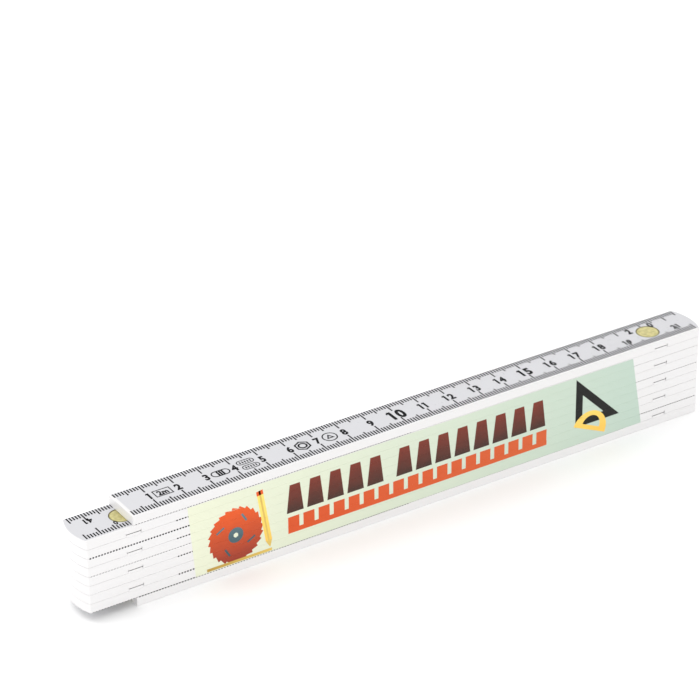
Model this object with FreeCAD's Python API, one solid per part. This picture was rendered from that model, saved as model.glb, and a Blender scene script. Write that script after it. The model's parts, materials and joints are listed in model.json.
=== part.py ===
import FreeCAD, Part
import math
import os

# Ten-member folding rule, two metres long when open, lying folded with its scale face up.
# X runs along the members, Y across them and Z up through the stack. Member 1 is on top, member 10
# lies on the table. Interface k is the plane between member k and member k + 1, and the pivot there
# is at +X for an odd k and at -X for an even one.

member_count = 10
pivot_pitch = 200.0
end_reach = 17.6
member_width = 15.0
member_thick = 3.16
layer_gap = 0.04
edge_round = 0.12
corner_round = 0.4

# Each hinge: a raised plate on the lower member turns in a recess of the upper member.
plate_radius = 7.8
plate_side_trim = 0.05
plate_seat_depth = 0.4
plate_stand = 0.65
plate_gap = 0.25
spring_plate_thick = 0.5
recess_clearance = 0.15
tail_width = 6.0
tail_end = 16.9
tail_clearance = 0.1

# Detent: two domes on the raised plate run in a groove of the spring plate, with a seat each 90 deg.
detent_orbit = 5.2
dome_radius = 1.4
dome_height = 0.4
groove_half_width = 1.05
groove_depth = 0.25
seat_radius = 1.6
seat_depth = 0.35

# Rivet that each hinge turns on, with a flush head above and a closing cap below.
shank_radius = 1.5
bore_clearance = 0.05
head_radius = 3.8
head_clearance = 0.2
head_thick = 0.55
head_sink = 0.04
head_floor_gap = 0.05
cap_thick = 0.56
cap_socket_depth = 0.25

# Small pins that hold each plate's tail to its member, hidden under the lacquer.
pin_radius = 1.3
pin_offset = 15.0
pin_cover = 0.12

# Values that follow from the ones above.
layer_pitch = member_thick + layer_gap
half_pitch = pivot_pitch / 2
half_width = member_width / 2
recess_radius = plate_radius + recess_clearance
recess_depth = plate_stand + plate_gap + spring_plate_thick - layer_gap
head_recess_depth = head_sink + head_thick + head_floor_gap
head_recess_radius = head_radius + head_clearance
cap_recess_depth = head_sink + cap_thick


def member_bottom(k):
    return (member_count - k) * layer_pitch


def member_top(k):
    return member_bottom(k) + member_thick


def pivot_side(k):
    """+1 where pivot k is at the +X end, -1 where it is at the -X end."""
    return 1 if k % 2 else -1


def cylinder(radius, x, z_low, z_high):
    base = FreeCAD.Vector(x, 0, z_low)
    return Part.makeCylinder(radius, z_high - z_low, base)


def box(x_low, x_high, half_y, z_low, z_high):
    corner = FreeCAD.Vector(x_low, -half_y, z_low)
    return Part.makeBox(x_high - x_low, 2 * half_y, z_high - z_low, corner)


def edges_where(shape, test):
    return [edge for edge in shape.Edges if test(edge)]


def is_upright(edge):
    low, high = edge.BoundBox.ZMin, edge.BoundBox.ZMax
    return high - low > member_thick / 2


def is_corner(edge):
    """An upright edge where a member's side meets its rounded end."""
    beyond_pivot = abs(edge.CenterOfMass.x) > half_pitch + plate_radius
    return is_upright(edge) and beyond_pivot


def rounded_end(side, z_low, z_high):
    """What an end keeps: an arc about its pivot, with the rest of the member left whole."""
    x_pivot = side * half_pitch
    x_far = -side * pivot_pitch
    arc = cylinder(end_reach, x_pivot, z_low, z_high)
    rest = box(min(x_pivot, x_far), max(x_pivot, x_far), member_width, z_low, z_high)
    return arc.fuse(rest)


def member_blank(k):
    """A member before its pockets are cut, with a square free end on the first and last."""
    z_low, z_high = member_bottom(k), member_top(k)
    first_or_last = k in (1, member_count)
    x_left = -half_pitch if first_or_last else -half_pitch - end_reach
    blank = box(x_left, half_pitch + end_reach, half_width, z_low, z_high)
    blank = blank.common(rounded_end(1, z_low, z_high))
    if not first_or_last:
        blank = blank.common(rounded_end(-1, z_low, z_high))
    blank = blank.removeSplitter()
    blank = blank.makeFillet(corner_round, edges_where(blank, is_corner))
    rims = edges_where(blank, lambda edge: not is_upright(edge))
    return blank.makeFillet(edge_round, rims)


def tail(side, half_y, reach, z_low, z_high):
    """A straight tongue from a pivot towards the member's middle, with a round end."""
    x_pivot = side * half_pitch
    x_round = x_pivot - side * (reach - half_y)
    strip = box(min(x_pivot, x_round), max(x_pivot, x_round), half_y, z_low, z_high)
    return strip.fuse(cylinder(half_y, x_round, z_low, z_high))


def trimmed_disc(side, radius, z_low, z_high):
    """A disc about a pivot, cut off a little inside the member's two sides."""
    x_pivot = side * half_pitch
    disc = cylinder(radius, x_pivot, z_low, z_high)
    sides = box(x_pivot - radius, x_pivot + radius, half_width - plate_side_trim, z_low, z_high)
    return disc.common(sides)


def pin_x(side):
    return side * (half_pitch - pin_offset)


def hinge_underside_pockets(k):
    """Everything cut from member k for pivot k, where it is the upper member."""
    side = pivot_side(k)
    x_pivot = side * half_pitch
    z_low, z_high = member_bottom(k), member_top(k)
    z_ceiling = z_low + recess_depth
    pockets = [
        cylinder(recess_radius, x_pivot, z_low, z_ceiling),
        tail(side, tail_width / 2 + tail_clearance, tail_end + tail_clearance, z_low, z_ceiling),
        cylinder(shank_radius + bore_clearance, x_pivot, z_low, z_high),
        cylinder(head_recess_radius, x_pivot, z_high - head_recess_depth, z_high),
        cylinder(pin_radius, pin_x(side), z_low, z_high - pin_cover),
    ]
    return pockets


def hinge_topside_pockets(k):
    """Everything cut from member k for pivot k - 1, where it is the lower member."""
    side = pivot_side(k - 1)
    x_pivot = side * half_pitch
    z_low, z_high = member_bottom(k), member_top(k)
    z_seat = z_high - plate_seat_depth
    pockets = [
        cylinder(plate_radius, x_pivot, z_seat, z_high),
        tail(side, tail_width / 2, tail_end, z_seat, z_high),
        cylinder(shank_radius, x_pivot, z_low, z_high),
        cylinder(head_radius, x_pivot, z_low, z_low + cap_recess_depth),
        cylinder(pin_radius, pin_x(side), z_low + pin_cover, z_high),
    ]
    return pockets


def member(k):
    pockets = []
    if k < member_count:
        pockets += hinge_underside_pockets(k)
    if k > 1:
        pockets += hinge_topside_pockets(k)
    return member_blank(k).cut(pockets)


def detent_domes(side, z_plate):
    """Two spherical caps on the raised plate, on the line of the member."""
    z_centre = z_plate + dome_height - dome_radius
    domes = []
    for turn in (-1, 1):
        centre = FreeCAD.Vector(side * half_pitch + turn * detent_orbit, 0, z_centre)
        ball = Part.makeSphere(dome_radius, centre)
        below = cylinder(dome_radius, centre.x, z_centre - dome_radius, z_plate - plate_seat_depth)
        domes.append(ball.cut(below))
    return domes


def detent_seats(side, z_face):
    """Four dimples on the groove's line, a quarter turn apart, where the domes rest."""
    seats = []
    for angle in (0, math.pi / 2, math.pi, 3 * math.pi / 2):
        x = side * half_pitch + detent_orbit * math.cos(angle)
        y = detent_orbit * math.sin(angle)
        centre = FreeCAD.Vector(x, y, z_face + seat_depth - seat_radius)
        seats.append(Part.makeSphere(seat_radius, centre))
    return seats


def raised_plate(k):
    """The steel plate of pivot k that is let into the top of member k + 1 and stands proud of it."""
    side = pivot_side(k)
    z_face = member_top(k + 1)
    z_seat = z_face - plate_seat_depth
    plate = trimmed_disc(side, plate_radius, z_seat, z_face + plate_stand)
    plate = plate.fuse(detent_domes(side, z_face + plate_stand))
    plate = plate.fuse(tail(side, tail_width / 2, tail_end, z_seat, z_face))
    holes = [
        cylinder(shank_radius, side * half_pitch, z_seat, z_face + plate_stand),
        cylinder(pin_radius, pin_x(side), z_seat, z_face),
    ]
    return plate.cut(holes).removeSplitter()


def spring_plate(k):
    """The steel plate of pivot k at the top of member k's recess, with the detent groove below."""
    side = pivot_side(k)
    x_pivot = side * half_pitch
    z_high = member_bottom(k) + recess_depth
    z_low = z_high - spring_plate_thick
    plate = trimmed_disc(side, plate_radius, z_low, z_high)
    plate = plate.fuse(tail(side, tail_width / 2, tail_end, z_low, z_high))
    groove = cylinder(detent_orbit + groove_half_width, x_pivot, z_low, z_low + groove_depth)
    groove = groove.cut(cylinder(detent_orbit - groove_half_width, x_pivot, z_low, z_low + groove_depth))
    holes = [
        groove,
        cylinder(shank_radius + bore_clearance, x_pivot, z_low, z_high),
        cylinder(pin_radius, pin_x(side), z_low, z_high),
    ]
    return plate.cut(holes + detent_seats(side, z_low)).removeSplitter()


def pivot_rivet(k):
    """Flush head in member k, and the shank down through member k + 1 into its closing cap."""
    x_pivot = pivot_side(k) * half_pitch
    z_head = member_top(k) - head_sink
    z_under_head = z_head - head_thick
    z_end = member_bottom(k + 1) + cap_recess_depth - cap_socket_depth
    head = cylinder(head_radius, x_pivot, z_under_head, z_head)
    shank = cylinder(shank_radius, x_pivot, z_end, z_under_head)
    return head.fuse(shank).removeSplitter()


def rivet_cap(k):
    """Cap pressed on the lower end of pivot k's shank, flush with the bottom of member k + 1."""
    x_pivot = pivot_side(k) * half_pitch
    z_low = member_bottom(k + 1) + head_sink
    z_high = z_low + cap_thick
    socket = cylinder(shank_radius, x_pivot, z_high - cap_socket_depth, z_high)
    return cylinder(head_radius, x_pivot, z_low, z_high).cut(socket)


def fixing_pins(k):
    """Member k's pins: one through each plate tail that it carries."""
    pins = []
    if k < member_count:
        z_low = member_bottom(k) + recess_depth - spring_plate_thick
        pins.append(cylinder(pin_radius, pin_x(pivot_side(k)), z_low, member_top(k) - pin_cover))
    if k > 1:
        z_low = member_bottom(k) + pin_cover
        pins.append(cylinder(pin_radius, pin_x(pivot_side(k - 1)), z_low, member_top(k)))
    return Part.makeCompound(pins)


def export(name, number, shape):
    shape.exportStep("parts/%s_%02d.step" % (name, number))


def main():
    os.makedirs("parts", exist_ok=True)
    for k in range(1, member_count + 1):
        export("member", k, member(k))
        export("fixing_pins", k, fixing_pins(k))
    for k in range(1, member_count):
        export("raised_plate", k, raised_plate(k))
        export("spring_plate", k, spring_plate(k))
        export("pivot_rivet", k, pivot_rivet(k))
        export("rivet_cap", k, rivet_cap(k))


main()
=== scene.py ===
import json
import math
import bpy
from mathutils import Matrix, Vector

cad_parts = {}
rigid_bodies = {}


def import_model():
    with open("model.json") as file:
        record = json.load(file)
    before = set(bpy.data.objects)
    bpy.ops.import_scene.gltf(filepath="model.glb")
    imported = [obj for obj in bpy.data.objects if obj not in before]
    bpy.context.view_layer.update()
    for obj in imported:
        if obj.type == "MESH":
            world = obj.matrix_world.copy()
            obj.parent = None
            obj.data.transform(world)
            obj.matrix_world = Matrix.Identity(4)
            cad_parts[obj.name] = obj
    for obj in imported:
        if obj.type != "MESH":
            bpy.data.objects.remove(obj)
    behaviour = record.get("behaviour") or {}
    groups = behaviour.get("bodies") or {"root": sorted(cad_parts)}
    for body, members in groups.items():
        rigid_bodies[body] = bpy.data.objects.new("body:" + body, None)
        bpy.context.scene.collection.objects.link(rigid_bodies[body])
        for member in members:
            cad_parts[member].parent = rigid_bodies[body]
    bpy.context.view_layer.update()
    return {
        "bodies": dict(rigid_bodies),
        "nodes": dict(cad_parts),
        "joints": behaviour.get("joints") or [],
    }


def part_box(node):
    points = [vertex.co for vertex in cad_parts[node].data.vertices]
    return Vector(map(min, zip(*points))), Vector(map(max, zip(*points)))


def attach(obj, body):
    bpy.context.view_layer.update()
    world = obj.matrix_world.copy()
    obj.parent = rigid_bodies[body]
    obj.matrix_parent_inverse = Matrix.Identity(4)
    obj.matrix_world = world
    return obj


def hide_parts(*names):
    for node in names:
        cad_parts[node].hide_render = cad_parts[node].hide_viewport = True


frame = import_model()
mm = 0.001
tolerance = {"pick": 0.01 * mm, "level": 0.001 * mm, "weld": 0.0001 * mm, "thinnest": 0.02 * mm}

# The rule lies folded, member 1 on top. Pivot k joins member k to member k + 1.
memberLow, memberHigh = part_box("member_02")
pivots = {int(joint["name"][-2:]): Vector(joint["pos_m"]) for joint in frame["joints"]}
rule = {
    "members": len(frame["bodies"]),
    "width": memberHigh.y - memberLow.y,
    "thick": memberHigh.z - memberLow.z,
    "layer": pivots[1].z - pivots[2].z,
    "halfPitch": pivots[1].x,
    "reach": memberHigh.x - pivots[1].x,
    "edgeRound": 0.12 * mm,
}
frontY = -rule["width"] / 2
print("frame loaded:", rule["members"], "members,", len(frame["nodes"]), "nodes")


def only(*obs):
    bpy.ops.object.select_all(action="DESELECT")
    for ob in obs:
        ob.select_set(True)
    bpy.context.view_layer.objects.active = obs[0]


def settle(name):
    ob = bpy.context.object
    ob.name = name
    ob.data.name = name
    bpy.ops.object.transform_apply(location=True, rotation=True, scale=True)
    return ob


# picks vertices, edges or faces by where their middle lies, and stays in edit mode
def pick(ob, kind, test):
    only(ob)
    bpy.ops.object.mode_set(mode="EDIT")
    bpy.ops.mesh.select_mode(type=kind)
    bpy.ops.mesh.select_all(action="DESELECT")
    bpy.ops.object.mode_set(mode="OBJECT")
    points = ob.data.vertices
    if kind == "VERT":
        for point in points:
            point.select = test(point.co)
    else:
        for part in ob.data.edges if kind == "EDGE" else ob.data.polygons:
            corners = [points[i].co for i in part.vertices]
            part.select = test(sum(corners, Vector()) / len(corners))
    bpy.ops.object.mode_set(mode="EDIT")


def leaveEdit():
    bpy.ops.object.mode_set(mode="OBJECT")


def shapeWith(ob, kind, **settings):
    only(ob)
    modifier = ob.modifiers.new(kind.title(), kind)
    for key, value in settings.items():
        setattr(modifier, key, value)
    bpy.ops.object.modifier_apply(modifier=modifier.name)
    return ob


def repeat(ob, count, step):
    return shapeWith(
        ob, "ARRAY", count=count, use_relative_offset=False,
        use_constant_offset=True, constant_offset_displace=step,
    )


def cutAway(ob, cutter):
    shapeWith(ob, "BOOLEAN", object=cutter, operation="DIFFERENCE", solver="EXACT")
    bpy.data.objects.remove(cutter)


def joined(obs, name):
    only(*obs)
    if len(obs) > 1:
        bpy.ops.object.join()
    ob = bpy.context.object
    ob.name = name
    ob.data.name = name
    return ob


def closeUp(ob):
    only(ob)
    bpy.ops.object.mode_set(mode="EDIT")
    bpy.ops.mesh.select_all(action="SELECT")
    bpy.ops.mesh.remove_doubles(threshold=tolerance["weld"])
    bpy.ops.mesh.normals_make_consistent(inside=False)
    leaveEdit()


def paint(ob, material):
    ob.data.materials.clear()
    ob.data.materials.append(material)
    return ob


def leaf(k):
    return "leaf_%02d" % k


def memberBox(k):
    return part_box("member_%02d" % k)


class Wire:
    # one node output, with Python's operators standing for Math nodes
    def __init__(self, finish, socket):
        self.finish = finish
        self.socket = socket

    def __add__(self, other):
        return self.finish.maths("ADD", self, other)

    def __radd__(self, other):
        return self.finish.maths("ADD", other, self)

    def __sub__(self, other):
        return self.finish.maths("SUBTRACT", self, other)

    def __rsub__(self, other):
        return self.finish.maths("SUBTRACT", other, self)

    def __mul__(self, other):
        return self.finish.maths("MULTIPLY", self, other)

    def __rmul__(self, other):
        return self.finish.maths("MULTIPLY", other, self)

    def __truediv__(self, other):
        return self.finish.maths("DIVIDE", self, other)

    def __mod__(self, other):
        return self.finish.maths("FLOORED_MODULO", self, other)

    def __pow__(self, other):
        return self.finish.maths("POWER", self, other)

    def __abs__(self):
        return self.finish.maths("ABSOLUTE", self)

    def __gt__(self, other):
        return self.finish.maths("GREATER_THAN", self, other)

    def __lt__(self, other):
        return self.finish.maths("LESS_THAN", self, other)


class Finish:
    # a Principled material: constants are set on its sockets, what varies is fed in
    def __init__(self, name, constants):
        self.material = bpy.data.materials.new(name)
        self.material.use_nodes = True
        self.tree = self.material.node_tree
        self.shader = self.tree.nodes["Principled BSDF"]
        for socket, value in constants.items():
            self.shader.inputs[socket].default_value = value

    def feed(self, socket, value):
        if isinstance(value, Wire):
            self.tree.links.new(value.socket, socket)
        else:
            socket.default_value = value

    def node(self, kind, settings, inputs, output=0):
        made = self.tree.nodes.new(kind)
        for key, value in settings.items():
            setattr(made, key, value)
        for key, value in inputs.items():
            self.feed(made.inputs[key], value)
        return Wire(self, made.outputs[output])

    def maths(self, operation, *values):
        return self.node("ShaderNodeMath", {"operation": operation}, dict(enumerate(values)))

    def millimetres(self):
        place = self.node("ShaderNodeTexCoord", {}, {}, "Object")
        return self.node("ShaderNodeVectorMath", {"operation": "SCALE"}, {0: place, "Scale": 1 / mm})

    def split(self, vector):
        parts = self.node("ShaderNodeSeparateXYZ", {}, {0: vector}).socket.node
        return [Wire(self, socket) for socket in parts.outputs]

    def stretched(self, vector, by):
        return self.node("ShaderNodeVectorMath", {"operation": "MULTIPLY"}, {0: vector, 1: by})

    def noise(self, vector, scale, detail=3.0):
        return self.node("ShaderNodeTexNoise", {}, {"Vector": vector, "Scale": scale, "Detail": detail})

    def mix(self, factor, a, b, blend="MIX"):
        return self.node(
            "ShaderNodeMix", {"data_type": "RGBA", "blend_type": blend}, {0: factor, 6: a, 7: b}, 2
        )

    def range(self, value, low, high, outLow=0.0, outHigh=1.0):
        return self.node("ShaderNodeMapRange", {}, {0: value, 1: low, 2: high, 3: outLow, 4: outHigh})

    def bump(self, height, depth):
        normal = self.node("ShaderNodeBump", {}, {"Height": height, "Distance": depth, "Strength": 1.0})
        self.set("Normal", normal)

    def set(self, socket, value):
        self.feed(self.shader.inputs[socket], value)


def colour(red, green, blue):
    return (red, green, blue, 1.0)


lacquer = {
    # the scale faces' colour below is partly a grey printed ground and partly painted shade for the light
    # falling on them
    "face": colour(0.555, 0.555, 0.577),
    "side": colour(0.73, 0.72, 0.72),
    "wood": colour(0.36, 0.25, 0.14),
    "woodDark": colour(0.20, 0.13, 0.07),
    "rough": (0.27, 0.40),
    "peel": 0.004 * mm,
    # where the scale faces' tone, with its painted shade, ends, in millimetres in from each edge, from its
    # first trace to its full depth
    "freeMargin": (1.3, 0.9), "nearMargin": (0.60, 0.45),
    "edgeMargin": (0.10, 0.03), "endMargin": (0.12, 0.04),
    "skin": 0.05, "layerSlack": 0.02,
}


def makeLacquer():
    finish = Finish("whiteLacquer", {"Coat Weight": 0.25, "Coat Roughness": 0.12, "IOR": 1.48})
    place = finish.millimetres()
    x, y, z = finish.split(place)
    halfWidth = rule["width"] / mm / 2
    thick, layer = rule["thick"] / mm, rule["layer"] / mm
    halfPitch, reach = rule["halfPitch"] / mm, rule["reach"] / mm
    # the scale faces get a greyer blue-grey tone than the sprayed edges: partly their grey printed ground,
    # partly painted shade for how the light falls on the faces
    slack = lacquer["layerSlack"]
    endLayer = (z > layer * (rule["members"] - 1) - slack) + (z < layer - slack)
    beyond = finish.maths("MAXIMUM", abs(x) - halfPitch, 0.0)
    reached = (beyond ** 2.0 + abs(y) ** 2.0) ** 0.5
    side = finish.range(abs(y), *(halfWidth - inward for inward in lacquer["edgeMargin"]))
    for other in (
        finish.range(x, *(inward - halfPitch for inward in lacquer["freeMargin"])) * endLayer,
        finish.range(y, *(inward - halfWidth for inward in lacquer["nearMargin"])),
        finish.range(reached, *(reach - inward for inward in lacquer["endMargin"])) * (beyond > 1.0),
    ):
        side = finish.maths("MAXIMUM", side, other)
    grain = finish.noise(finish.stretched(place, (0.035, 1.1, 1.1)), 1.6, 5.0)
    cloud = finish.noise(place, 0.06, 2.0)
    pores = finish.noise(finish.stretched(place, (0.12, 2.4, 2.4)), 2.2, 1.0)
    # painted shade: the scale faces take the darker grey-blue tone, the sides the white
    tone = finish.mix(side, lacquer["face"], lacquer["side"])
    tone = finish.mix(finish.range(grain, 0.35, 0.7, 0.0, 0.05), tone, colour(0.55, 0.52, 0.47))
    tone = finish.mix(finish.range(cloud, 0.3, 0.7, 0.0, 0.035), tone, colour(0.72, 0.74, 0.80))
    tone = finish.mix(finish.range(pores, 0.72, 0.80, 0.0, 0.10), tone, colour(0.45, 0.43, 0.40))
    # bare beech shows inside the pockets, between a member's faces and its sides
    depth = z % layer
    skin = lacquer["skin"]
    inside = (depth > skin) * (depth < thick - skin) * (abs(y) < halfWidth - 2 * skin)
    inside = inside * (reached < reach - 0.3)
    freeEnd = (x < 5 - halfPitch) * endLayer
    bare = inside * (1 - freeEnd)
    streak = finish.noise(finish.stretched(place, (0.15, 2.2, 2.2)), 2.0, 6.0)
    beech = finish.mix(finish.range(streak, 0.35, 0.65), lacquer["woodDark"], lacquer["wood"])
    finish.set("Base Color", finish.mix(bare, tone, beech))
    peel = finish.noise(place, 1.3, 2.0)
    shine = finish.range(peel + grain, 0.7, 1.3, *lacquer["rough"])
    finish.set("Roughness", shine + bare * 0.35)
    finish.bump(peel * 0.6 + grain * 0.8 - pores * 0.15 + streak * bare * 4.0, lacquer["peel"])
    return finish.material


ink = {"black": colour(0.006, 0.006, 0.007), "worn": colour(0.022, 0.022, 0.025), "lift": 0.012 * mm}


def makeInk():
    finish = Finish("scaleInk", {"Specular IOR Level": 0.06})
    place = finish.millimetres()
    mottle = finish.noise(place, 2.2, 4.0)
    fade = finish.noise(finish.stretched(place, (0.05, 0.4, 0.4)), 1.0, 2.0)
    worn = finish.range(mottle * fade, 0.22, 0.42, 0.0, 0.8)
    finish.set("Base Color", finish.mix(worn, ink["black"], ink["worn"]))
    finish.set("Roughness", finish.range(mottle, 0.3, 0.7, 0.42, 0.62))
    finish.bump(mottle, 0.002 * mm)
    return finish.material


brass = {
    # the rim colour is a painted shadow: the dark ring of the gap round the rivet head, laid on the brass
    # near its edge
    "bright": colour(0.69, 0.63, 0.30), "dull": colour(0.50, 0.455, 0.20), "rim": colour(0.22, 0.21, 0.09),
    "shadowRingFrom": 3.35, "shadowRingTo": 3.65, "ringPitch": 0.22,
}


def makeBrass():
    finish = Finish("rivetBrass", {"Metallic": 1.0})
    place = finish.millimetres()
    x, y = finish.split(place)[:2]
    across = abs(x) - rule["halfPitch"] / mm
    fromAxis = (across ** 2.0 + abs(y) ** 2.0) ** 0.5
    turned = finish.maths("SINE", fromAxis * (math.tau / brass["ringPitch"]))
    blotch = finish.noise(place, 0.9, 4.0)
    hammered = finish.noise(place, 2.6, 2.0)
    # painted shadow: the outer band of the head is darkened to stand for the gap around it
    rim = finish.range(fromAxis, brass["shadowRingFrom"], brass["shadowRingTo"])
    tone = finish.mix(finish.range(blotch, 0.35, 0.7), brass["bright"], brass["dull"])
    tone = finish.mix(rim * 0.8, tone, brass["rim"])
    finish.set("Base Color", tone)
    finish.set("Roughness", finish.range(blotch + hammered, 0.7, 1.3, 0.26, 0.44))
    finish.bump(turned * 0.12 + hammered, 0.010 * mm)
    return finish.material


steel = {"bright": colour(0.56, 0.57, 0.59), "blued": colour(0.34, 0.36, 0.40), "painted": 0.2}


def makeSteel(name, edgePainted):
    finish = Finish(name, {})
    place = finish.millimetres()
    rolled = finish.noise(finish.stretched(place, (0.15, 3.0, 3.0)), 3.0, 3.0)
    patch = finish.noise(place, 0.5, 3.0)
    tone = finish.mix(finish.range(patch, 0.3, 0.7), steel["bright"], steel["blued"])
    if edgePainted:
        # the trimmed edges are sprayed white with the rest of the rule
        y = finish.split(place)[1]
        painted = abs(y) > rule["width"] / mm / 2 - steel["painted"]
        finish.set("Base Color", finish.mix(painted, tone, lacquer["side"]))
        finish.set("Metallic", 1 - painted)
    else:
        finish.set("Base Color", tone)
        finish.set("Metallic", 1.0)
    finish.set("Roughness", finish.range(rolled, 0.3, 0.7, 0.28, 0.42))
    finish.bump(rolled, 0.004 * mm)
    return finish.material


# colours of the printed edge panel: each runs from one tone to another along X or Z
panelTones = {
    "paper": ("x", -80.0, 90.0, colour(0.72, 0.745, 0.575), colour(0.47, 0.58, 0.50)),
    "brown": ("z", 14.0, 25.0, colour(0.050, 0.028, 0.022), colour(0.19, 0.035, 0.022)),
    "orange": ("x", -46.0, 54.0, colour(0.62, 0.085, 0.022), colour(0.60, 0.11, 0.035)),
    "sunRed": ("z", 5.0, 22.0, colour(0.30, 0.045, 0.025), colour(0.72, 0.10, 0.020)),
    "black": ("x", 60.0, 85.0, colour(0.010, 0.010, 0.010), colour(0.014, 0.014, 0.012)),
    "yellow": ("z", 4.0, 20.0, colour(0.86, 0.50, 0.09), colour(0.88, 0.68, 0.16)),
    "slate": ("z", 8.0, 20.0, colour(0.045, 0.085, 0.10), colour(0.12, 0.19, 0.22)),
    "plank": ("x", -76.0, -52.0, colour(0.42, 0.26, 0.05), colour(0.68, 0.48, 0.12)),
}


def makePrint(name, axis, low, high, first, last):
    gloss = {"Coat Weight": 0.04, "Coat Roughness": 0.15, "Specular IOR Level": 0.15}
    finish = Finish("print" + name.title(), gloss)
    place = finish.millimetres()
    along = finish.split(place)["xyz".index(axis)]
    dots = finish.noise(place, 3.2, 2.0)
    drift = finish.noise(place, 0.25, 2.0)
    tone = finish.mix(finish.range(along + drift * 4.0 - 2.0, low, high), first, last)
    tone = finish.mix(finish.range(dots, 0.35, 0.75, 0.0, 0.05), tone, colour(0.9, 0.9, 0.85), "SOFT_LIGHT")
    finish.set("Base Color", tone)
    finish.set("Roughness", finish.range(dots, 0.3, 0.7, 0.30, 0.42))
    finish.bump(dots, 0.002 * mm)
    return finish.material


lacquerFinish = makeLacquer()
inkFinish = makeInk()
brassFinish = makeBrass()
plateFinish = makeSteel("plateSteel", True)
pinFinish = makeSteel("pinSteel", False)
printFinishes = {name: makePrint(name, *tones) for name, tones in panelTones.items()}
print("materials made")


# the carried-over CAD nodes only get a finish
def finishNodes():
    finishes = {
        "member": lacquerFinish, "raised_plate": plateFinish,
        "spring_plate": plateFinish, "fixing_pins": pinFinish,
    }
    for name, ob in frame["nodes"].items():
        kind = name.rsplit("_", 1)[0]
        if kind in finishes:
            paint(ob, finishes[kind])


# lengths are measured in from the member's edges, far and near as the folded rule lies
scale = {
    "tickWide": 0.50 * mm,
    "far": {"short": 2.3 * mm, "half": 3.3 * mm, "full": 4.6 * mm},
    "near": {"short": 3.2 * mm, "half": 4.1 * mm, "full": 5.4 * mm},
    "overlap": 15,
    "beyond": 15,
    "arcSteps": 3,
    "discClear": 4.1 * mm,
}
# how far the ticks at each interface bend over the near edge, at the left and at the right:
# 1 is the whole of the rounding, and what goes past 1 is millimetres straight down the side
wrap = {
    1: (1.08, 0.33), 2: (1.08, 0.33), 3: (1.12, 0.33), 4: (1.08, 0.67), 5: (0.67, 0.33),
    6: (1.08, 0.33), 8: (1.12, 1.0), 9: (1.08, 0.67),
}
# the top two scale faces are printed off centre: their bare margin at world -Y
offCentre = {1: 0.65 * mm, 2: 1.15 * mm}
digits = {
    "usual": 3.3 * mm, "heights": {10: 4.9 * mm, 15: 4.0 * mm},
    "small": 2.6 * mm, "split": {1: 3.0 * mm, 2: 2.1 * mm},
    "fontRatio": 0.72, "narrow": 0.84, "bold": 0.046, "step": 0.66, "oneStep": 0.46,
    "flag": {"long": 0.14, "thick": 0.14, "drop": 0.12, "inward": 0.03},
    "row": 0.2 * mm, "smallRow": -2.1 * mm, "splitRow": 3.45 * mm, "splitGap": (5.4 * mm, 3.5 * mm),
}
glyphs = {}


# millimetre ticks on one edge: a strip laid on the face, bent over the edge where it gets there
def edgeTicks(sign, length, first, last, inset, over, top):
    bend = rule["edgeRound"]
    outer = rule["width"] / 2 - max(bend, inset)
    flat = length - max(bend, inset)
    bpy.ops.mesh.primitive_plane_add(
        size=1, location=(first * mm - rule["halfPitch"], sign * (outer - flat / 2), top)
    )
    strip = bpy.context.object
    strip.scale = (scale["tickWide"], flat, 1)
    settle("ticks")
    if inset == 0 and over > 0:
        pick(strip, "EDGE", lambda middle: sign * middle.y > outer - tolerance["pick"])
        turned = 0.0
        for step in range(round(min(over, 1) * scale["arcSteps"])):
            angle = math.pi / 2 * (step + 1) / scale["arcSteps"]
            away = bend * (math.sin(angle) - math.sin(turned))
            drop = bend * (math.cos(angle) - math.cos(turned))
            bpy.ops.mesh.extrude_region_move(TRANSFORM_OT_translate={"value": (0, sign * away, drop)})
            turned = angle
        if over > 1:
            bpy.ops.mesh.extrude_region_move(TRANSFORM_OT_translate={"value": (0, 0, (1 - over) * mm)})
        leaveEdit()
    shapeWith(strip, "SOLIDIFY", thickness=2 * ink["lift"], offset=0)
    closeUp(strip)
    return repeat(strip, last - first + 1, (mm, 0, 0))


def bar(x, y, z, lengthX, lengthY, lengthZ):
    bpy.ops.mesh.primitive_cube_add(size=1, location=(x, y, z))
    bpy.context.object.scale = (lengthX, lengthY, lengthZ)
    return settle("bar")


# the longer half and full centimetre ticks, which go on from where the short ones end
def longTicks(sign, short, length, places, top):
    middle = sign * (rule["width"] / 2 - (short + length) / 2)
    x = places[0] * mm - rule["halfPitch"]
    tick = bar(x, middle, top, scale["tickWide"], length - short, 2 * ink["lift"])
    return repeat(tick, len(places), (10 * mm, 0, 0))


# one printed character at full size, modelled once and copied wherever it is needed
def glyph(text):
    if text not in glyphs:
        bpy.ops.object.text_add()
        label = bpy.context.object
        label.data.body = text
        label.data.align_x = "CENTER"
        label.data.offset = digits["bold"]
        label.data.extrude = ink["lift"]
        label.data.resolution_u = 3
        only(label)
        bpy.ops.object.convert(target="MESH")
        parts = [bpy.context.object]
        if text == "1":
            parts.append(flagOfOne(parts[0]))
        glyphs[text] = joined(parts, "glyph")
        closeUp(glyphs[text])
    return glyphs[text]


# the slanted stroke that a plain 1 lacks
def flagOfOne(stem):
    left = min(point.co.x for point in stem.data.vertices)
    flag = digits["flag"]
    top = digits["fontRatio"] + digits["bold"]
    stroke = bar(left, top - flag["thick"] / 2, 0, flag["long"] * 2, flag["thick"], 2 * ink["lift"])
    pick(stroke, "VERT", lambda point: point.x > left)
    bpy.ops.transform.translate(value=(-flag["long"] * 0.7, 0, 0))
    leaveEdit()
    pick(stroke, "VERT", lambda point: point.x < left - flag["long"] / 2)
    bpy.ops.transform.translate(value=(flag["inward"], -flag["drop"], 0))
    leaveEdit()
    return stroke


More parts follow.
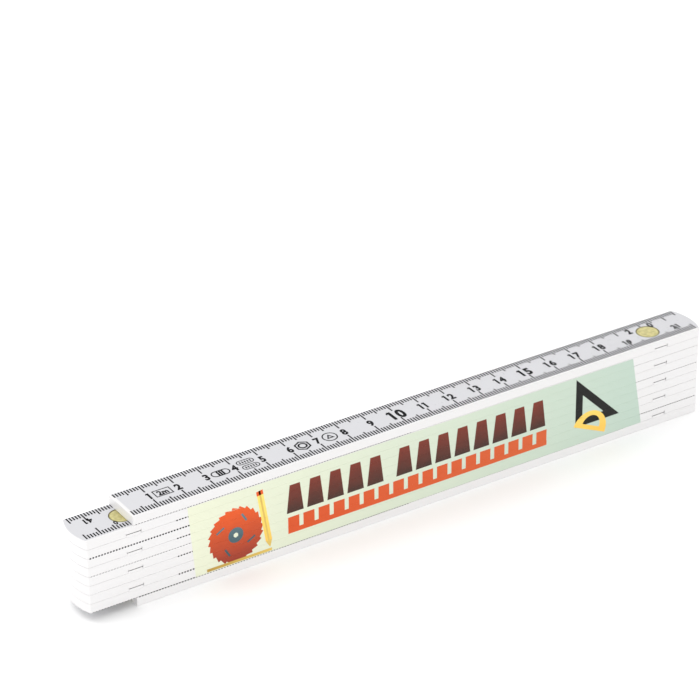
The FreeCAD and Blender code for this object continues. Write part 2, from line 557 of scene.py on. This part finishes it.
# a number is laid out from single characters, or from one word where that is given whole
def number(text, x, y, height, top, whole=False):
    size = height / digits["fontRatio"]
    characters = [text] if whole else list(text)
    steps = [digits["oneStep"] if character == "1" else digits["step"] for character in characters]
    start = x - sum(steps) * size * digits["narrow"] / 2
    placed = []
    for character, step in zip(characters, steps):
        wide = step * size * digits["narrow"]
        copy = glyph(character).copy()
        copy.data = copy.data.copy()
        bpy.context.collection.objects.link(copy)
        copy.location = (start + wide / 2, y - height / 2, top)
        copy.scale = (size * digits["narrow"], size, 1)
        placed.append(copy)
        start += wide
    return placed


# numbers of one face: local is the centimetre counted from the member's own zero
def numbers(k, first, last, top):
    labels = []
    for local in range(-(-first // 10), last // 10 + 1):
        text = str(20 * (k - 1) + local)
        x = local * 10 * mm - rule["halfPitch"]
        pivotEnd = 20 if last > 200 else 0 if first < 0 else None
        if local in (0, 20):
            if local == pivotEnd:
                before, after = digits["splitGap"]
                height = digits["split"].get(k, digits["small"])
                labels += number(text[:-1], x - before, digits["splitRow"], height, top)
                labels += number(text[-1], x + after, digits["splitRow"], height, top)
        elif pivotEnd is not None and abs(local - pivotEnd) == 1:
            labels += number(text, x, digits["smallRow"], digits["small"], top)
        else:
            height = digits["heights"].get(local, digits["usual"])
            labels += number(text, x, digits["row"], height, top)
    only(*labels)
    bpy.ops.object.transform_apply(location=True, rotation=True, scale=True)
    return joined(labels, "numbers")


# printing of one face, laid out as on an upright member with its top face at height top
def facePrint(k, isTop):
    top = rule["thick"] / 2 + ink["lift"] * 0.2
    if isTop:
        first = 1 if k == 1 else scale["overlap"]
        last = 199 if k == rule["members"] else 200 + scale["beyond"]
    else:
        first = 1 if k == 1 else -scale["beyond"]
        last = 199 if k == rule["members"] else 200 - scale["overlap"]
    interface = k - 1 if isTop else k
    pieces = []
    halves = [place for place in range(first, last + 1) if place % 10 == 5]
    fulls = [place for place in range(first, last + 1) if place % 10 == 0]
    inner = [place for place in fulls if place not in (0, 200)]
    isUpright = k % 2 == 1
    shortEnd = {}
    for sign in (1, -1):
        # worldSide is -1 along the near edge of the folded stack
        worldSide = sign if isUpright == isTop else -sign
        row = scale["near"] if worldSide < 0 else scale["far"]
        inset = offCentre.get(k, 0) if isTop and worldSide < 0 else 0
        short, half, full = row["short"], row["half"], row["full"]
        shortEnd[sign] = short
        left, right = wrap.get(interface, (0, 0)) if worldSide < 0 else (0, 0)
        lowEnd, highEnd = (left, right) if isUpright else (right, left)
        pieces.append(edgeTicks(sign, short, first, 100, inset, lowEnd, top))
        pieces.append(edgeTicks(sign, short, 101, last, inset, highEnd, top))
        pieces.append(longTicks(sign, short, half, halves, top))
        for run in (
            [place for place in inner if place < 0],
            [place for place in inner if 0 < place < 200],
            [place for place in inner if place > 200],
        ):
            if run:
                pieces.append(longTicks(sign, short, full, run, top))
    for place in fulls:
        if place in (0, 200):
            toDisc = rule["width"] / 2 - scale["discClear"]
            pieces.append(longTicks(1, shortEnd[1], toDisc, [place], top))
    labels = numbers(k, first, last, top)
    if isTop and k in offCentre:
        labels.location.y = (1 if isUpright else -1) * (offCentre[k] - offCentre[1])
    pieces.append(labels)
    if k == 1 and isTop:
        pieces += marks(top)
    sheet = joined(pieces, "scale")
    low, high = memberBox(k)
    sheet.rotation_euler = (0 if isTop else math.pi, 0, 0 if isUpright else math.pi)
    sheet.location.z = (low.z + high.z) / 2
    return settle("scale")


# small marks between the first numbers
# each outline is centred at x, half as wide and high as given; the corner count makes its shape
outlines = [
    {"x": 14.6, "y": 0.1, "halfX": 3.0, "halfY": 1.95, "corners": 4, "line": 0.36},
    {"x": 35.0, "y": 0.1, "halfX": 3.3, "halfY": 1.7, "corners": 32, "line": 0.42},
    {"x": 44.7, "y": 1.75, "halfX": 3.05, "halfY": 1.35, "corners": 32, "line": 0.34},
    {"x": 45.0, "y": -1.55, "halfX": 3.05, "halfY": 1.35, "corners": 32, "line": 0.34},
    {"x": 64.7, "y": 0.1, "halfX": 2.85, "halfY": 2.85, "corners": 6, "line": 0.55},
    {"x": 64.7, "y": 0.1, "halfX": 1.65, "halfY": 1.65, "corners": 12, "line": 0.60},
    {"x": 74.7, "y": 0.1, "halfX": 2.6, "halfY": 2.6, "corners": 32, "line": 0.42},
    {"x": 74.7, "y": 0.0, "halfX": 1.6, "halfY": 1.6, "corners": 3, "line": 0.45},
]
markWords = [
    {"text": "2m", "x": 14.6, "y": 0.1, "height": 2.5},
    {"text": "III", "x": 35.0, "y": 0.1, "height": 3.0},
]
barRows = {"starts": ((42.9, 1.75), (43.2, -1.55)), "count": 5, "pitch": 0.9, "wide": 0.45, "high": 1.2}


def outline(x, y, halfX, halfY, corners, line, top):
    start = x * mm - rule["halfPitch"]
    if corners == 4:
        bpy.ops.mesh.primitive_plane_add(size=2, location=(start, y * mm, top))
        bpy.context.object.scale = (halfX * mm, halfY * mm, 1)
        ring = settle("mark")
    else:
        bpy.ops.mesh.primitive_circle_add(
            vertices=corners, radius=halfY * mm, fill_type="NGON", location=(start, y * mm, top)
        )
        ring = settle("mark")
        for sign in (1, -1):
            if halfX > halfY:
                pick(ring, "VERT", lambda point: sign * (point.x - start) > tolerance["pick"])
                bpy.ops.transform.translate(value=(sign * (halfX - halfY) * mm, 0, 0))
                leaveEdit()
    pick(ring, "FACE", lambda middle: True)
    bpy.ops.mesh.inset(thickness=line * mm, depth=0)
    bpy.ops.mesh.delete(type="FACE")
    leaveEdit()
    shapeWith(ring, "SOLIDIFY", thickness=2 * ink["lift"], offset=0)
    closeUp(ring)
    return ring


def marks(top):
    pieces = [outline(top=top, **shape) for shape in outlines]
    words = []
    for word in markWords:
        x = word["x"] * mm - rule["halfPitch"]
        words += number(word["text"], x, word["y"] * mm, word["height"] * mm, top, True)
    only(*words)
    bpy.ops.object.transform_apply(location=True, rotation=True, scale=True)
    # rows of plain bars fill the two small stadiums
    wide, high = barRows["wide"] * mm, barRows["high"] * mm
    for x, y in barRows["starts"]:
        fill = bar(x * mm - rule["halfPitch"], y * mm, top, wide, high, 2 * ink["lift"])
        pieces.append(repeat(fill, barRows["count"], (barRows["pitch"] * mm, 0, 0)))
    return pieces + words


def makeScales():
    for k in range(1, rule["members"] + 1):
        sheet = joined([facePrint(k, True), facePrint(k, False)], "scalePrint_%02d" % k)
        paint(sheet, inkFinish)
        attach(sheet, leaf(k))
    for master in glyphs.values():
        bpy.data.objects.remove(master)
    print("scales printed")


rivet = {
    "edge": 0.07 * mm, "rim": 0.28 * mm, "groove": 0.12 * mm, "sink": 0.035 * mm,
    "crown": 0.018 * mm, "steps": 4, "around": 72,
    "headThick": 0.55 * mm, "shank": 1.5 * mm, "shankIn": 0.05 * mm, "shankEdge": 0.12 * mm,
    "shankAround": 40,
}


# a turned brass disc: rim, shallow groove and crowned middle on its outer face
def turnedDisc(low, high, facing):
    middle = (low + high) / 2
    radius = (high.x - low.x) / 2
    bpy.ops.mesh.primitive_cylinder_add(
        vertices=rivet["around"], radius=radius, depth=high.z - low.z, location=middle
    )
    disc = settle("disc")
    shapeWith(disc, "BEVEL", width=rivet["edge"], segments=2, limit_method="ANGLE")
    outer = high.z if facing > 0 else low.z
    flat = radius - rivet["edge"] * 1.5

    def isFlat(spot):
        return abs(spot.z - outer) < tolerance["level"] and math.hypot(spot.x - middle.x, spot.y) < flat

    pick(disc, "FACE", isFlat)
    bpy.ops.mesh.inset(thickness=rivet["rim"], depth=0)
    bpy.ops.mesh.inset(thickness=rivet["groove"], depth=-rivet["sink"])
    bpy.ops.mesh.inset(thickness=rivet["groove"], depth=rivet["sink"])
    left = flat - rivet["rim"] - 2 * rivet["groove"]
    for step in range(rivet["steps"]):
        lift = rivet["crown"] * (0.4 - 0.1 * step)
        bpy.ops.mesh.inset(thickness=left / (rivet["steps"] + 1), depth=lift)
    leaveEdit()
    return disc


def makeRivets():
    for k, pivot in pivots.items():
        low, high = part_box("pivot_rivet_%02d" % k)
        headLow = Vector((low.x, low.y, high.z - rivet["headThick"]))
        head = turnedDisc(headLow, high, 1)
        bpy.ops.mesh.primitive_cylinder_add(
            vertices=rivet["shankAround"], radius=rivet["shank"], depth=headLow.z - low.z + rivet["shankIn"],
            location=(pivot.x, 0, (headLow.z + low.z + rivet["shankIn"]) / 2),
        )
        shank = settle("shank")
        shapeWith(shank, "BEVEL", width=rivet["shankEdge"], segments=2, limit_method="ANGLE")
        head = joined([head, shank], "rivetHead_%02d" % k)
        cap = joined([turnedDisc(*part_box("rivet_cap_%02d" % k), -1)], "rivetCap_%02d" % k)
        for piece, node in ((head, "pivot_rivet_%02d" % k), (cap, "rivet_cap_%02d" % k)):
            only(piece)
            bpy.ops.object.shade_smooth_by_angle(angle=math.radians(35))
            paint(piece, brassFinish)
            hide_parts(node)
            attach(piece, leaf(k + 1))
    print("rivets turned")


pinMark = {"radius": 1.45 * mm, "rise": 0.06 * mm, "inboard": 15 * mm, "around": 40, "rings": 12}


def makePinMarks():
    for k in range(1, rule["members"] + 1):
        low, high = memberBox(k)
        spots = []
        if k in pivots:
            spots.append((pivots[k].x, high.z))
        if k - 1 in pivots:
            spots.append((pivots[k - 1].x, low.z))
        domes = []
        for x, z in spots:
            bpy.ops.mesh.primitive_uv_sphere_add(
                segments=pinMark["around"], ring_count=pinMark["rings"], radius=pinMark["radius"],
                location=(x - math.copysign(pinMark["inboard"], x), 0, z),
            )
            bpy.context.object.scale.z = pinMark["rise"] / pinMark["radius"]
            domes.append(settle("dome"))
        mark = joined(domes, "pinMark_%02d" % k)
        bpy.ops.object.shade_smooth()
        paint(mark, lacquerFinish)
        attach(mark, leaf(k))
    print("pin marks raised")


# coloured print on the near edges of the folded stack
# X counts from the left pivots and down counts from the top face, both in millimetres
panel = {
    "left": (18.7, 20.7), "right": (188.3, 192.6),
    "depth": 0.3 * mm, "paper": 0.020 * mm, "art": 0.032 * mm, "over": 0.044 * mm, "top": 0.056 * mm,
    "firstMember": 2, "lastMember": 9, "overhang": 0.01 * mm, "edge": 0.015 * mm, "bareTop": 0.15 * mm,
}
saw = {
    "x": 35.3, "down": 18.6, "radius": 9.2, "teeth": 24, "tooth": 1.09, "twist": 0.7, "hub": 2.7, "hole": 0.9,
    "slotAt": 6.3, "slotWide": 0.7, "slotLong": 3.2, "slotTurn": 30,
}
plank = {"x": 36.4, "down": 28.0, "long": 23.4, "thick": 1.0}
tails = {"groups": ((53.8, 5), (94.6, 8)), "pitch": 7.45, "wide": 6.2, "narrow": 0.60, "down": (7.4, 17.4)}
comb = {"along": (54.2, 153.6), "down": (18.9, 24.8), "spine": 1.7, "finger": 4.1, "pitch": 5.60}
square = {"x": 174.2, "down": 13.2, "size": 18.0, "inner": 0.48, "innerShift": 0.20}
gauge = {"x": 170.9, "down": 24.6, "radius": 7.0, "inner": 3.7, "base": 1.6, "lean": -24}
pencil = {
    "x": 45.6, "down": (5.6, 24.6), "wide": 2.3, "lean": 9, "tip": 2.4, "point": 0.12, "stripe": 0.28,
    "band": 1.6, "bandWide": 1.02,
}


def panelX(value):
    return value * mm - rule["halfPitch"]


def panelZ(down):
    return memberBox(1)[1].z - down * mm


def panelBlock(x, down, wide, high, level, tone, corners=4, turn=0.0):
    deep = panel["depth"] + level
    place = (panelX(x), frontY - level + deep / 2, panelZ(down))
    if corners == 4:
        block = bar(*place, wide * mm, deep, high * mm)
    else:
        bpy.ops.mesh.primitive_cylinder_add(
            vertices=corners, radius=wide * mm, depth=deep, location=place, rotation=(math.pi / 2, 0, 0)
        )
        block = settle("block")
    if turn:
        pick(block, "FACE", lambda middle: True)
        bpy.ops.transform.rotate(value=math.radians(turn), orient_axis="Y", center_override=place)
        leaveEdit()
    return paint(block, printFinishes[tone])


def paperBlock():
    topDown = (memberBox(1)[1].z - memberBox(panel["firstMember"])[1].z) / mm
    bottomDown = (memberBox(1)[1].z - memberBox(panel["lastMember"])[0].z) / mm
    left, right = panel["left"][0], panel["right"][0]
    middle, high = (topDown + bottomDown) / 2, bottomDown - topDown
    block = panelBlock((left + right) / 2, middle, right - left, high, panel["paper"], "paper")
    for sign, (above, below) in ((-1, panel["left"]), (1, panel["right"])):
        pick(block, "VERT", lambda point: point.z < panelZ(middle) and sign * point.x > 0)
        bpy.ops.transform.translate(value=((below - above) * mm, 0, 0))
        leaveEdit()
    return block


def sawBlade():
    blade = panelBlock(saw["x"], saw["down"], saw["radius"], 0, panel["art"], "sunRed", 2 * saw["teeth"])
    centre = (panelX(saw["x"]), frontY, panelZ(saw["down"]))
    stepAngle = math.pi / saw["teeth"]

    def isTip(point):
        angle = math.atan2(point.x - centre[0], point.z - centre[2])
        return round(angle / stepAngle) % 2 == 0

    pick(blade, "VERT", isTip)
    bpy.ops.transform.resize(value=(saw["tooth"], 1, saw["tooth"]), center_override=centre)
    bpy.ops.transform.rotate(value=stepAngle * saw["twist"], orient_axis="Y", center_override=centre)
    leaveEdit()
    parts = [
        blade,
        panelBlock(saw["x"], saw["down"], saw["hub"], 0, panel["over"], "slate", 40),
        panelBlock(saw["x"], saw["down"], saw["hole"], 0, panel["top"], "paper", 6),
        panelBlock(plank["x"], plank["down"], plank["long"], plank["thick"], panel["over"], "plank"),
    ]
    for quarter in range(4):
        turn = 90 * quarter + saw["slotTurn"]
        angle = math.radians(turn)
        x = saw["x"] + math.sin(angle) * saw["slotAt"]
        down = saw["down"] - math.cos(angle) * saw["slotAt"]
        parts.append(panelBlock(x, down, saw["slotWide"], saw["slotLong"], panel["over"], "slate", 4, turn))
    return parts


def pencilShape():
    top, bottom = pencil["down"]
    middle, long = (top + bottom) / 2, bottom - top
    wide = pencil["wide"]
    tipMiddle = bottom + pencil["tip"] / 2
    tip = panelBlock(pencil["x"], tipMiddle, wide, pencil["tip"], panel["top"], "plank")
    pick(tip, "VERT", lambda point: point.z < panelZ(tipMiddle))
    bpy.ops.transform.resize(value=(pencil["point"], 1, 1))
    leaveEdit()
    parts = [
        tip,
        panelBlock(pencil["x"], middle, wide, long, panel["over"], "yellow"),
        panelBlock(pencil["x"], middle, wide * pencil["stripe"], long, panel["top"], "plank"),
        panelBlock(
            pencil["x"], top + pencil["band"] / 2, wide * pencil["bandWide"], pencil["band"],
            panel["top"], "sunRed",
        ),
    ]
    centre = (panelX(pencil["x"]), frontY, panelZ(middle))
    for part in parts:
        pick(part, "FACE", lambda spot: True)
        bpy.ops.transform.rotate(value=math.radians(pencil["lean"]), orient_axis="Y", center_override=centre)
        leaveEdit()
    return parts


def dovetails():
    rows = []
    topDown, bottomDown = tails["down"]
    middle = (topDown + bottomDown) / 2
    for start, count in tails["groups"]:
        x = start + tails["wide"] / 2
        tail = panelBlock(x, middle, tails["wide"], bottomDown - topDown, panel["art"], "brown")
        pick(tail, "VERT", lambda point: point.z > panelZ(middle))
        bpy.ops.transform.resize(value=(tails["narrow"], 1, 1))
        leaveEdit()
        rows.append(repeat(tail, count, (tails["pitch"] * mm, 0, 0)))
    return rows


def fingerComb():
    topDown, bottomDown = comb["down"]
    start, end = comb["along"]
    spineAt = bottomDown - comb["spine"] / 2
    spine = panelBlock((start + end) / 2, spineAt, end - start, comb["spine"], panel["art"], "orange")
    high = bottomDown - comb["spine"] - topDown
    finger = panelBlock(
        start + comb["finger"] / 2, topDown + high / 2, comb["finger"], high, panel["art"], "orange"
    )
    count = int((end - start - comb["finger"]) / comb["pitch"]) + 1
    return [spine, repeat(finger, count, (comb["pitch"] * mm, 0, 0))]


# a right-angled triangle: a square cut along its diagonal
def halfSquare(x, down, size, level, tone):
    block = panelBlock(x, down, size, size, level, tone)
    pick(block, "FACE", lambda middle: True)
    bpy.ops.mesh.bisect(
        plane_co=(panelX(x), 0, panelZ(down)), plane_no=(-1, 0, -1), use_fill=True, clear_inner=True
    )
    leaveEdit()
    return block


def setSquare():
    outer = halfSquare(square["x"], square["down"], square["size"], panel["art"], "black")
    shift = square["size"] * (1 - square["inner"]) * square["innerShift"]
    innerSize = square["size"] * square["inner"]
    hole = halfSquare(square["x"] - shift, square["down"] + shift, innerSize, mm, "black")
    cutAway(outer, hole)
    return [outer]


# the upper half of a disc, standing on a straight base at down
def halfDisc(x, down, radius, level):
    disc = panelBlock(x, down, radius, 0, level, "yellow", 64)
    pick(disc, "FACE", lambda middle: True)
    bpy.ops.mesh.bisect(
        plane_co=(0, 0, panelZ(down)), plane_no=(0, 0, 1), use_fill=True, clear_inner=True
    )
    leaveEdit()
    return disc


def protractor():
    whole = halfDisc(gauge["x"], gauge["down"], gauge["radius"], panel["over"])
    cutAway(whole, halfDisc(gauge["x"], gauge["down"] - gauge["base"], gauge["inner"], mm))
    pick(whole, "FACE", lambda middle: True)
    centre = (panelX(gauge["x"]), frontY, panelZ(gauge["down"]))
    bpy.ops.transform.rotate(value=math.radians(gauge["lean"]), orient_axis="Y", center_override=centre)
    leaveEdit()
    return [whole]


# cuts one shape of the picture off at a member's faces and rounds it over the member's edges
def sliceOf(shape, bottom, top):
    heights = [point.co.z for point in shape.data.vertices]
    if min(heights) > top - tolerance["thinnest"] or max(heights) < bottom + tolerance["thinnest"]:
        return None
    only(shape)
    bpy.ops.object.duplicate()
    part = bpy.context.object
    for level, side in ((bottom, "clear_inner"), (top, "clear_outer")):
        pick(part, "FACE", lambda middle: True)
        bpy.ops.mesh.bisect(plane_co=(0, 0, level), plane_no=(0, 0, 1), use_fill=True, **{side: True})
        leaveEdit()

    def isRim(middle):
        atEnd = min(abs(middle.z - bottom), abs(middle.z - top)) < tolerance["level"]
        return middle.y < frontY and atEnd

    pick(part, "EDGE", isRim)
    bpy.ops.mesh.bevel(offset=panel["edge"], segments=2, affect="EDGES")
    leaveEdit()
    return part


def makePanel():
    shapes = [paperBlock()] + sawBlade() + pencilShape() + dovetails() + fingerComb()
    shapes += setSquare() + protractor()
    for k in range(panel["firstMember"], panel["lastMember"] + 1):
        low, high = memberBox(k)
        bottom, top = low.z - panel["overhang"], high.z + panel["overhang"]
        if k == panel["firstMember"]:
            # the scale's ticks show above the picture
            top = high.z - panel["bareTop"]
        slices = [sliceOf(shape, bottom, top) for shape in shapes]
        strip = joined([part for part in slices if part], "edgePrint_%02d" % k)
        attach(strip, leaf(k))
    for shape in shapes:
        bpy.data.objects.remove(shape)
    print("edge print sliced")


studio = {
    "eye": (-456.46 * mm, -689.45 * mm, 502.57 * mm),
    "aim": (42.62 * mm, 94.34 * mm, 0.0),
    "roll": -0.675, "lens": 154.3, "floor": 6.0, "sky": 1.14,
    "keyPlace": (-1.95, -2.0, 0.42), "keySize": 1.3, "keyPower": 14.0,
    "topPlace": (-0.22, 0.16, 0.32), "topSize": 0.3, "topPower": 0.32,
}


def makeCamera():
    eye, aim = Vector(studio["eye"]), Vector(studio["aim"])
    bpy.ops.object.camera_add(location=eye)
    camera = bpy.context.object
    camera.data.lens = studio["lens"]
    camera.data.sensor_width = 36
    camera.data.clip_start = 0.01
    turn = (aim - eye).to_track_quat("-Z", "Y").to_matrix().to_4x4()
    camera.rotation_euler = turn.to_euler()
    camera.rotation_euler.rotate_axis("Z", math.radians(studio["roll"]))
    bpy.context.scene.camera = camera


def softLight(name, place, size, power):
    bpy.ops.object.light_add(type="AREA", location=place)
    lamp = bpy.context.object
    lamp.name = name
    lamp.data.shape = "DISK"
    lamp.data.size = size
    lamp.data.energy = power
    lamp.rotation_euler = (-Vector(place)).to_track_quat("-Z", "Y").to_euler()


def makeStudio():
    bpy.ops.mesh.primitive_plane_add(size=studio["floor"])
    floor = settle("floor")
    finish = Finish("paleFloor", {"Base Color": colour(0.97, 0.97, 0.97), "Roughness": 0.9})
    paint(floor, finish.material)
    world = bpy.data.worlds.new("softSky")
    world.use_nodes = True
    world.node_tree.nodes["Background"].inputs["Color"].default_value = colour(1, 1, 1)
    world.node_tree.nodes["Background"].inputs["Strength"].default_value = studio["sky"]
    bpy.context.scene.world = world
    bpy.context.scene.view_settings.view_transform = "Standard"
    softLight("keyLight", studio["keyPlace"], studio["keySize"], studio["keyPower"])
    softLight("topLight", studio["topPlace"], studio["topSize"], studio["topPower"])
    print("studio set")


bpy.ops.object.select_all(action="DESELECT")
makeCamera()
makeStudio()
finishNodes()
makeScales()
makeRivets()
makePinMarks()
makePanel()
